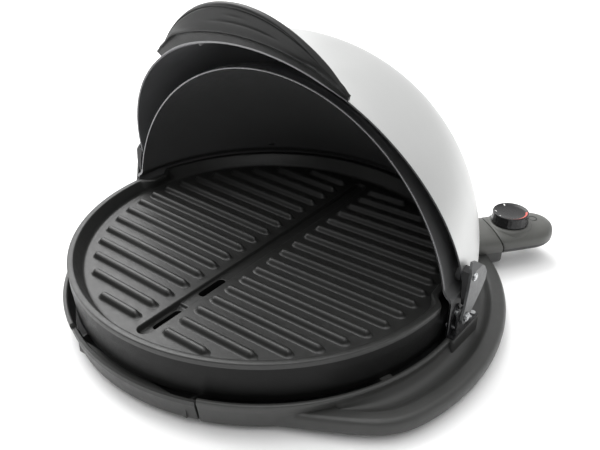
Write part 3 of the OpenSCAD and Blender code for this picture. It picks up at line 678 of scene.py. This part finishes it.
def lid():
    b = Build()
    c = np.array([0, CEN[0], CEN[1]])
    ly, lz = 9.2 + 0.14 * EDGE_Z, EDGE_Z          # the line where the two cuts meet
    psi1 = math.atan2(1, 0.14)                    # the rear cut, up and a little back

    def surf(R, npsi=72, ntau=112):
        rows = []
        for i in range(npsi + 1):
            u = i / npsi
            # closer rows near both cuts
            u = u - 0.035 * sin(2 * math.pi * u)
            psi = math.pi + (psi1 - math.pi) * u
            d = np.array([0, cos(psi), sin(psi)])          # in the half plane, away from the line
            L = np.array([0, ly, lz]) - c
            # the half plane holds x and d: its circle's centre is the sphere centre's foot on it
            k = float(np.dot(-L, d))
            foot = np.array([0, ly, lz]) + d * k
            rho = math.sqrt(R * R - float(np.dot(foot - c, foot - c)))
            t0 = math.acos(np.clip(-k / rho, -1, 1))       # angle from d where the arc meets the line
            row = []
            for j in range(ntau + 1):
                v = j / ntau
                v = v - 0.045 * sin(2 * math.pi * v)
                t = -t0 + 2 * t0 * v
                row.append(foot + d * rho * cos(t) + np.array([1, 0, 0]) * rho * sin(t))
            rows.append(row)
        return np.array(rows)
    ro, ri = surf(LID_R), surf(LID_R - 1.5)
    b.grid(lid_open(ro), mat=0)
    b.grid(lid_open(ri), mat=1, flip=True)
    for k in (0, -1):
        e0, e1 = ro[k], ri[k]
        mid = (e0 + e1) / 2
        nrm = np.array([0, 0, -1.0]) if k == 0 else np.array([0, sin(psi1), -cos(psi1)])
        rows = []
        for i in range(7):
            t = math.pi * i / 6
            rows.append(mid + (e0 - mid) * cos(t) + nrm * 0.0 * sin(t))
        # the edge strips take the painted-highlight edge colour
        b.grid(lid_open(np.array(rows)), mat=2)
    ob = b.make("lid_skin", [M_LID, M_LID_IN, M_LID_EDGE], angle=40)
    return put(ob, "lid", ["lid_dome"])


def handle():
    b = Build()
    VL, VR = 31.9, 30.0

    def edge(t):
        return 176 + 28.6 * max(0, cos(rad(90 * t / (VL if t < 0 else VR)))) ** (1.2 if t < 0 else 1.0)
    # section from the lid's edge outwards: bead (painted light grey as a highlight line), hollow lip, crease, visor,
    # groove, rolled rim, upper side
    lipsec = [(171.2, -0.2), (171.25, -1.3), (171.6, -2.0), (172.2, -2.25), (172.8, -2.1), (173.4, -2.15), (175.0, -2.3), (177.5, -2.6), (180.0, -3.3), (181.6, -4.2), (182.5, -5.0), (183.0, -5.45), (183.5, -5.6), (184.1, -5.5)]
    visor = [(185.5, -5.1), (188.0, -4.5), (189.6, -4.2), (190.5, -4.05), (191.0, -3.95), (191.5, -3.88), (192.0, -3.8), (192.5, -3.72), (193.4, -3.6), (194.6, -3.42), (195.5, -3.28), (196.0, -3.2), (196.5, -3.13), (197.0, -3.05), (197.5, -3.0), (198.4, -2.88), (199.5, -2.75), (201.2, -2.6), (201.8, -2.35), (202.2, -2.0), (202.6, -2.35), (203.2, -2.6), (204.0, -2.4),
             (204.7, -1.8), (205.1, -0.8), (205.1, 0.4), (204.7, 1.5), (203.8, 2.4), (202.2, 2.95), (196, 4.1), (188, 5.6), (181, 7.5), (176, 9.5), (172.2, 11.5)]
    rows = []
    n = 120
    for i in range(n + 1):
        t = -VL - 1.6 + (VL + VR + 2.0) * i / n
        R = edge(min(VR, max(-VL, t)))
        f = min(1, (R - 176) / 12.0)
        tip = smooth(-t, VL - 2.0, VL + 1.6) + smooth(t, VR - 2.0, VR + 0.4)
        crease = 183.5 - 5.5 * (1 - smooth(R, 176, 190)) - 1.6 * tip
        row = []
        for r, z in lipsec:
            rr = 171.2 + (r - 171.2) * (crease - 171.2) / (183.5 - 171.2)
            h = 0.55 + 0.45 * smooth(f, 0, 0.9)
            row.append((rr, z * h * (1 - 0.45 * tip)))
        for r, z in visor:
            rim = max(R, crease + 1.2)
            rr = crease + (r - 183.5) * (rim - crease) / (205.1 - 183.5)
            if r < 184 or r < 183.5:
                rr = 172 + (r - 172) * (crease - 172) / (183.5 - 172)
            if z > 2.5:
                u = (r - 172.2) / (202.2 - 172.2)
                rr = 172.2 + (rim - 1.2 - 172.2) * u
            hz = 0.45 + 0.55 * smooth(f, 0, 0.9)
            # two shallow ridges on the visor's underside
            zz = z * hz
            for rc, t0, t1, amp in ((191.5, -9.5, 12.5, 0.55), (196.5, -4.5, 4.5, 0.45)):
                if r < 201 and z < 0:
                    w = math.exp(-((r - rc) / 0.9) ** 2) * smooth(t, t0, t0 + 5) * (1 - smooth(t, t1 - 5, t1))
                    zz -= amp * w
            row.append((rr, zz * (1 - 0.5 * tip)))
        a = rad(-90 + t)
        rows.append([(rr * cos(a), CEN[0] + rr * sin(a), EDGE_Z + z) for rr, z in row])
    rows = np.array(rows)
    # the first five section points (the bead) take the painted-highlight colour
    b.grid(lid_open(rows), close_v=True, mat=lambda i, j: 1 if j < 5 else 0)
    for k in (0, -1):
        c = rows[k].mean(0)
        loop = lid_open(rows[k])
        b.fan(list(loop), lid_open(c[None])[0])
    ob = b.make("visor_handle", [M_HANDLE, M_BEAD_HIGHLIGHT], angle=60)
    put(ob, "lid", ["lid_handle"])
    return ob


# ---------------------------------------------------------------- temperature probe
PC = -34.0


def se(c, e):
    return math.copysign(abs(c) ** e, c)


def bar_ring(s, w, h, n=48, cz=PC):
    out = []
    for i in range(n):
        a = 2 * math.pi * i / n
        out.append(probe_pt(s, w * se(cos(a), 0.72), cz + h * se(sin(a), 0.8)))
    return out


def seam_s(z, gap=0.0):
    """Where the hood ends: its face leans, its top being nearer to the grill."""
    return 213.7 - 5.4 * smooth(z, -37, -20.5) + gap


KS = 229.0


def probe():
    # hood over the socket
    b = Build()

    def ring_at(s, w, h, n=64, seam=None):
        out = []
        for i in range(n):
            a = 2 * math.pi * i / n
            z = PC + h * se(sin(a), 0.8)
            zz = PC + 12 * se(sin(a), 0.8)
            out.append(probe_pt(s if seam is None else seam_s(zz, seam), w * se(cos(a), 0.72), z))
        return out
    rows = [ring_at(s, 23 - g, 12 - g) for s, g in ((177, 2.2), (177, 0.6), (177.4, 0.15), (178.4, 0), (190, 0), (200, 0))]
    rows += [ring_at(0, 23 - g, 12 - g, seam=e) for e, g in ((-2.0, 0), (-1.3, 0.08), (-0.9, 0.3), (-0.7, 0.7), (-0.7, 2.2))]
    rows += [ring_at(s, 23 - g, 12 - g) for s, g in ((200, 2.2), (190, 2.2), (177, 2.2))]
    b.grid(rows, close_v=True)
    put(b.make("hood_barrel", [M_PROBE], angle=45), "base", ["socket_hood"])

    # body: upper and lower mouldings, one loft split below its middle
    st = [(("seam", 0.0), 2.4), (("seam", 0.05), 1.0), (("seam", 0.4), 0.3), (("seam", 1.2), 0.0), (("mix", 0.35), 0), (("mix", 0.7), 0), ((231, 0), 0), ((238, 0), 0), ((246, 0), 0)]
    secs = []
    for k, g in st:
        secs.append((k, 23 - g, 12 - g))
    for i in range(1, 17):
        a = rad(i * 90 / 16.6)
        secs.append(((246 + 25.3 * sin(a), 0), 23 * cos(a) ** 0.80, 12 * (0.30 + 0.70 * cos(a) ** 0.62)))
    n = 72
    half = 3.0

    def s_of(k, z):
        if k[0] == "seam":
            return seam_s(z, k[1])
        if k[0] == "mix":
            q = seam_s(z, 1.2)
            return q + (226 - q) * k[1]
        return k[0]
    up, lo_ = [], []
    for k, w, h in secs:
        q = min(0.999, half / max(h, half + 0.2))
        a_s = math.asin(q ** (1 / 0.8))
        ru, rl = [], []
        m = n // 2 + 9
        for i in range(m):
            a = -a_s + (math.pi + 2 * a_s) * i / (m - 1)
            t, z = w * se(cos(a), 0.72), h * se(sin(a), 0.8)
            # rises in a soft round step to the knob's seat
            ss = s_of(k, PC + 12 * se(sin(a), 0.8))
            ru.append(probe_pt(ss, t, PC + z))
        m = n // 2 - 7
        for i in range(m):
            a = math.pi + a_s + (math.pi - 2 * a_s) * i / (m - 1)
            ss = s_of(k, PC + 12 * se(sin(a), 0.8))
            rl.append(probe_pt(ss, w * se(cos(a), 0.72) * 0.992, PC + h * se(sin(a), 0.8) - 0.12))
        up.append(ru)
        lo_.append(rl)
    u = Build()
    u.grid(up)
    u.face(up[-1])
    u.face(up[0][::-1])
    sk = []
    for r, z in ((21.4, -30.0), (21.2, -27.0), (20.6, -24.6), (19.7, -23.0), (18.8, -22.1), (17.9, -21.7), (17.2, -21.6), (10, -21.6), (3.4, -21.6)):
        ring = []
        for a in np.linspace(0, 2 * math.pi, 73)[:-1]:
            ss, tt = KS + r * cos(a), r * sin(a)
            ring.append(probe_pt(max(ss, seam_s(z, 0.35)), tt, z))
        sk.append(ring)
    u.grid(sk, close_v=True)
    put(u.make("probe_top_moulding", [M_PROBE], angle=42), "probe", ["probe_upper_shell"])
    l = Build()
    l.grid(lo_)
    l.face(lo_[-1])
    l.face(lo_[0][::-1])
    put(l.make("probe_base_moulding", [M_PROBE_LO], angle=42), "probe", ["probe_lower_shell"])

    # recess of the pilot light
    q = Build()
    c = probe_pt(253, 0, 0)
    zt = -22.0
    prof = [(4.3, zt - 0.6), (4.2, zt - 0.02), (3.8, zt + 0.1), (3.3, zt - 0.05), (2.9, zt - 0.45), (2.65, zt - 0.8)]
    q.grid([[(c[0] + r * cos(a), c[1] + r * sin(a), z) for a in np.linspace(0, 2 * math.pi, 41)[:-1]] for r, z in prof], close_v=True)
    put(q.make("pilot_bezel", [M_NOSE], angle=50), "probe")

    # knob
    k = Build()
    z0 = -21.3
    prof = [(3.1, 0.1), (12, 0.1), (16.0, 0.1), (16.7, 0.3), (16.98, 0.8), (16.95, 1.4), (16.75, 2.4), (16.5, 4.4), (16.3, 6.8), (16.22, 8.4), (16.3, 9.1), (16.3, 9.7), (16.05, 10.2), (15.6, 10.45), (15.1, 10.45),
            (14.7, 10.2), (14.3, 9.85), (13.6, 9.5), (12.0, 9.1), (9, 8.6), (5, 8.3), (0.01, 8.2)]
    cx, cy, _ = probe_pt(KS, 0, 0)
    A = np.linspace(0, 2 * math.pi, 145)[:-1]
    rows = []
    for r, z in prof:
        ring = []
        for a in A:
            # shallow grip flutes round the side
            fl = 0.16 * (0.5 - 0.5 * cos(24 * a)) if 1.2 < z < 8.8 and r > 16 else 0
            ring.append((cx + (r - fl) * cos(a), cy + (r - fl) * sin(a), z0 + z))
        rows.append(ring)
    k.grid(rows, close_v=True)

    # red arc and white marks inlaid in the dish's rim
    def band(a0, a1, r0, r1, mat, off=0.05, n=28):
        pr = [(15.1, 10.45), (14.7, 10.2), (14.3, 9.85), (13.6, 9.5), (12.0, 9.1), (9, 8.6)][::-1]
        rr = np.linspace(r0, r1, 4)
        zs = np.interp(rr, [p[0] for p in pr], [p[1] for p in pr]) + off
        k.grid([[(cx + r * cos(rad(a)), cy + r * sin(rad(a)), z0 + z) for a in np.linspace(a0, a1, n)] for r, z in zip(rr, zs)], mat=mat)
    band(-78, 32, 13.2, 14.9, 1)
    for a in (-150, -112, 140):
        band(a - 2.6, a + 2.6, 12.6, 14.6, 2, n=6)
    kob = k.make("control_dial", [M_KNOB, M_RED, M_WHITE], angle=48)
    put(kob, "knob", ["control_knob"])


plate()
base()
shell()
lid()
handle()
probe()

# ---------------------------------------------------------------- stage, light, camera
world = bpy.data.worlds.new("studio")
bpy.context.scene.world = world
world.use_nodes = True
wt = world.node_tree
bg = wt.nodes["Background"]
tc = wt.nodes.new("ShaderNodeTexCoord")
dp = wt.nodes.new("ShaderNodeVectorMath")
dp.operation = "DOT_PRODUCT"
dp.inputs[1].default_value = (-0.48, 0.62, 0.62)
wr = wt.nodes.new("ShaderNodeValToRGB")
wr.color_ramp.interpolation = "EASE"
e = wr.color_ramp.elements
e[0].position, e[0].color = 0.0, (0.06, 0.06, 0.06, 1)
e[1].position, e[1].color = 1.0, (1.0, 1.0, 1.0, 1)
mr = wt.nodes.new("ShaderNodeMapRange")
mr.inputs["From Min"].default_value, mr.inputs["From Max"].default_value = -0.6, 0.7
wt.links.new(tc.outputs["Generated"], dp.inputs[0])
wt.links.new(dp.outputs["Value"], mr.inputs["Value"])
wt.links.new(mr.outputs["Result"], wr.inputs["Fac"])
wt.links.new(wr.outputs["Color"], bg.inputs[0])
bg.inputs[1].default_value = 0.92

fm, fnt, fb = new_mat("studio_floor")
fb.inputs["Base Color"].default_value = (0.93, 0.93, 0.93, 1)
fb.inputs["Roughness"].default_value = 0.9
fb.inputs["Specular IOR Level"].default_value = 0.1
me = bpy.data.meshes.new("floor")
S = 6.0
me.from_pydata([(-S, -S, 0), (S, -S, 0), (S, S, 0), (-S, S, 0)], [], [(0, 1, 2, 3)])
me.materials.append(fm)
floor = bpy.data.objects.new("floor", me)
bpy.context.scene.collection.objects.link(floor)


def area(name, loc, target, size, power, size_y=None, col=(1, 1, 1)):
    d = bpy.data.lights.new(name, "AREA")
    d.energy = power
    d.size = size
    d.color = col
    if size_y:
        d.shape = "RECTANGLE"
        d.size_y = size_y
    o = bpy.data.objects.new(name, d)
    o.location = loc
    o.rotation_mode = "QUATERNION"
    o.rotation_quaternion = (Vector(target) - Vector(loc)).to_track_quat("-Z", "Y")
    bpy.context.scene.collection.objects.link(o)
    return o


area("back_box", (-1.15, 0.45, 1.55), (0, -0.05, 0.05), 1.6, 40, 1.6)
area("left_box", (-1.5, -0.55, 0.40), (0, 0, 0.06), 0.5, 8, 1.2)
area("right_box", (1.45, 0.05, 0.50), (0.1, 0, 0.05), 0.5, 1, 1.2)
area("top_box", (0.0, -0.1, 1.9), (0, 0, 0.0), 1.6, 13, 1.6)
area("fill_box", (0.85, -0.95, 1.45), (0, 0.05, 0.1), 0.9, 8, 0.9)

cam_d = bpy.data.cameras.new("camera")
cam = bpy.data.objects.new("camera", cam_d)
bpy.context.scene.collection.objects.link(cam)
bpy.context.scene.camera = cam
AZ, EL = rad(37.7), rad(30.61)
back = Vector((sin(AZ) * cos(EL), -cos(AZ) * cos(EL), sin(EL)))
cam.rotation_mode = "QUATERNION"
cam.rotation_quaternion = (-back).to_track_quat("-Z", "Y")
cam.location = (0.34766, -0.40607 - YM / 1000, 0.32456 + 0.060)
cam_d.sensor_width = 36
cam_d.lens = 44.28
cam_d.clip_start, cam_d.clip_end = 0.01, 50

bpy.context.scene.view_settings.view_transform = "Standard"
bpy.context.scene.view_settings.look = "None"
